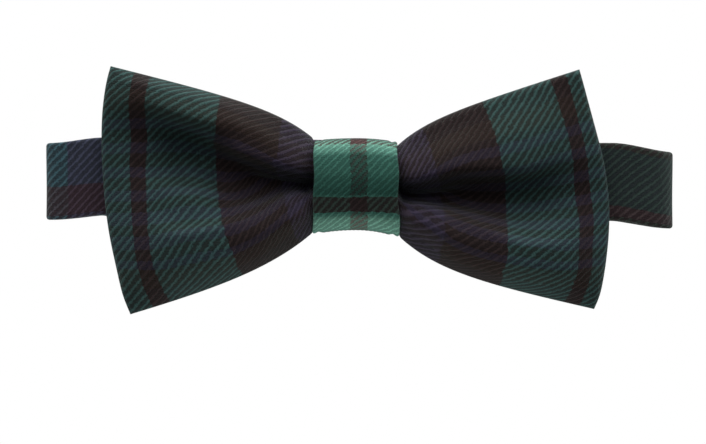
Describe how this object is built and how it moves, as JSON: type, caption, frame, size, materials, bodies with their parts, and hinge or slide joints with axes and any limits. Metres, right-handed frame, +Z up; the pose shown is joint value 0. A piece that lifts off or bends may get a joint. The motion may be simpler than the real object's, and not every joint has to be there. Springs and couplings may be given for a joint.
{
  "type": "bow tie",
  "caption": "Pre-tied wool twill bow tie on an adjustable neck band, closed behind the neck by a hook in a ring.",
  "frame": {"origin": "on the flat back of the knot, which rests against the collar, at the bow's mid line", "axes": "+X to the right as seen from in front, +Y towards the neck, +Z up; the bow faces -Y"},
  "size_m": [0.1502, 0.0908, 0.059],
  "materials": {
    "bow_cloth": "woven wool twill, dark green, navy and black tartan",
    "knot_cloth": "woven wool twill, green and black part of the tartan",
    "band_cloth": "woven wool twill, finer, dark tartan",
    "interfacing": "undyed woven canvas",
    "thread": "spun sewing thread",
    "nickel": "nickel plate on pressed steel and wire"
  },
  "bodies": {
    "root": {"bow_face_panel": "bow_cloth", "bow_back_panel": "bow_cloth", "bow_interfacing": "interfacing", "waist_binding_thread": "thread", "knot_wrap": "knot_cloth", "knot_interfacing": "interfacing", "knot_closing_stitches": "thread", "front_band": "band_cloth", "front_band_interlining": "interfacing", "left_front_fold": "band_cloth", "left_side_band": "band_cloth", "left_side_band_interlining": "interfacing", "left_back_corner": "band_cloth", "right_front_fold": "band_cloth", "right_side_band": "band_cloth", "right_side_band_interlining": "interfacing", "right_back_corner": "band_cloth", "short_strap": "band_cloth", "short_strap_end": "band_cloth", "short_strap_stitches": "thread"},
    "long_strap": {"long_strap": "band_cloth", "long_strap_hook_fold": "band_cloth", "long_strap_return": "band_cloth"},
    "slider": {"slider_frame": "nickel", "long_strap_end": "band_cloth", "long_strap_stitches": "thread"},
    "hook": {"hook": "nickel"},
    "ring": {"ring": "nickel"}
  },
  "joints": [
    {"name": "strap_swing", "type": "hinge", "parent": "root", "child": "long_strap", "pos_m": [-0.03706, 0.0738, 0.0007], "axis": [0, 0, 1], "range_deg": [0, 100]},
    {"name": "slider_travel", "type": "slide", "parent": "long_strap", "child": "slider", "axis": [1, 0, 0], "range_m": [-0.012, 0.012], "deforming": ["long_strap_return"]},
    {"name": "hook_swivel", "type": "hinge", "parent": "long_strap", "child": "hook", "pos_m": [0.012, 0.0713, 0.0007], "axis": [0, 0, 1], "range_deg": [0, 45]},
    {"name": "ring_swivel", "type": "hinge", "parent": "root", "child": "ring", "pos_m": [0.0282, 0.0698, 0.0007], "axis": [0, 0, 1], "range_deg": [0, 50]}
  ]
}
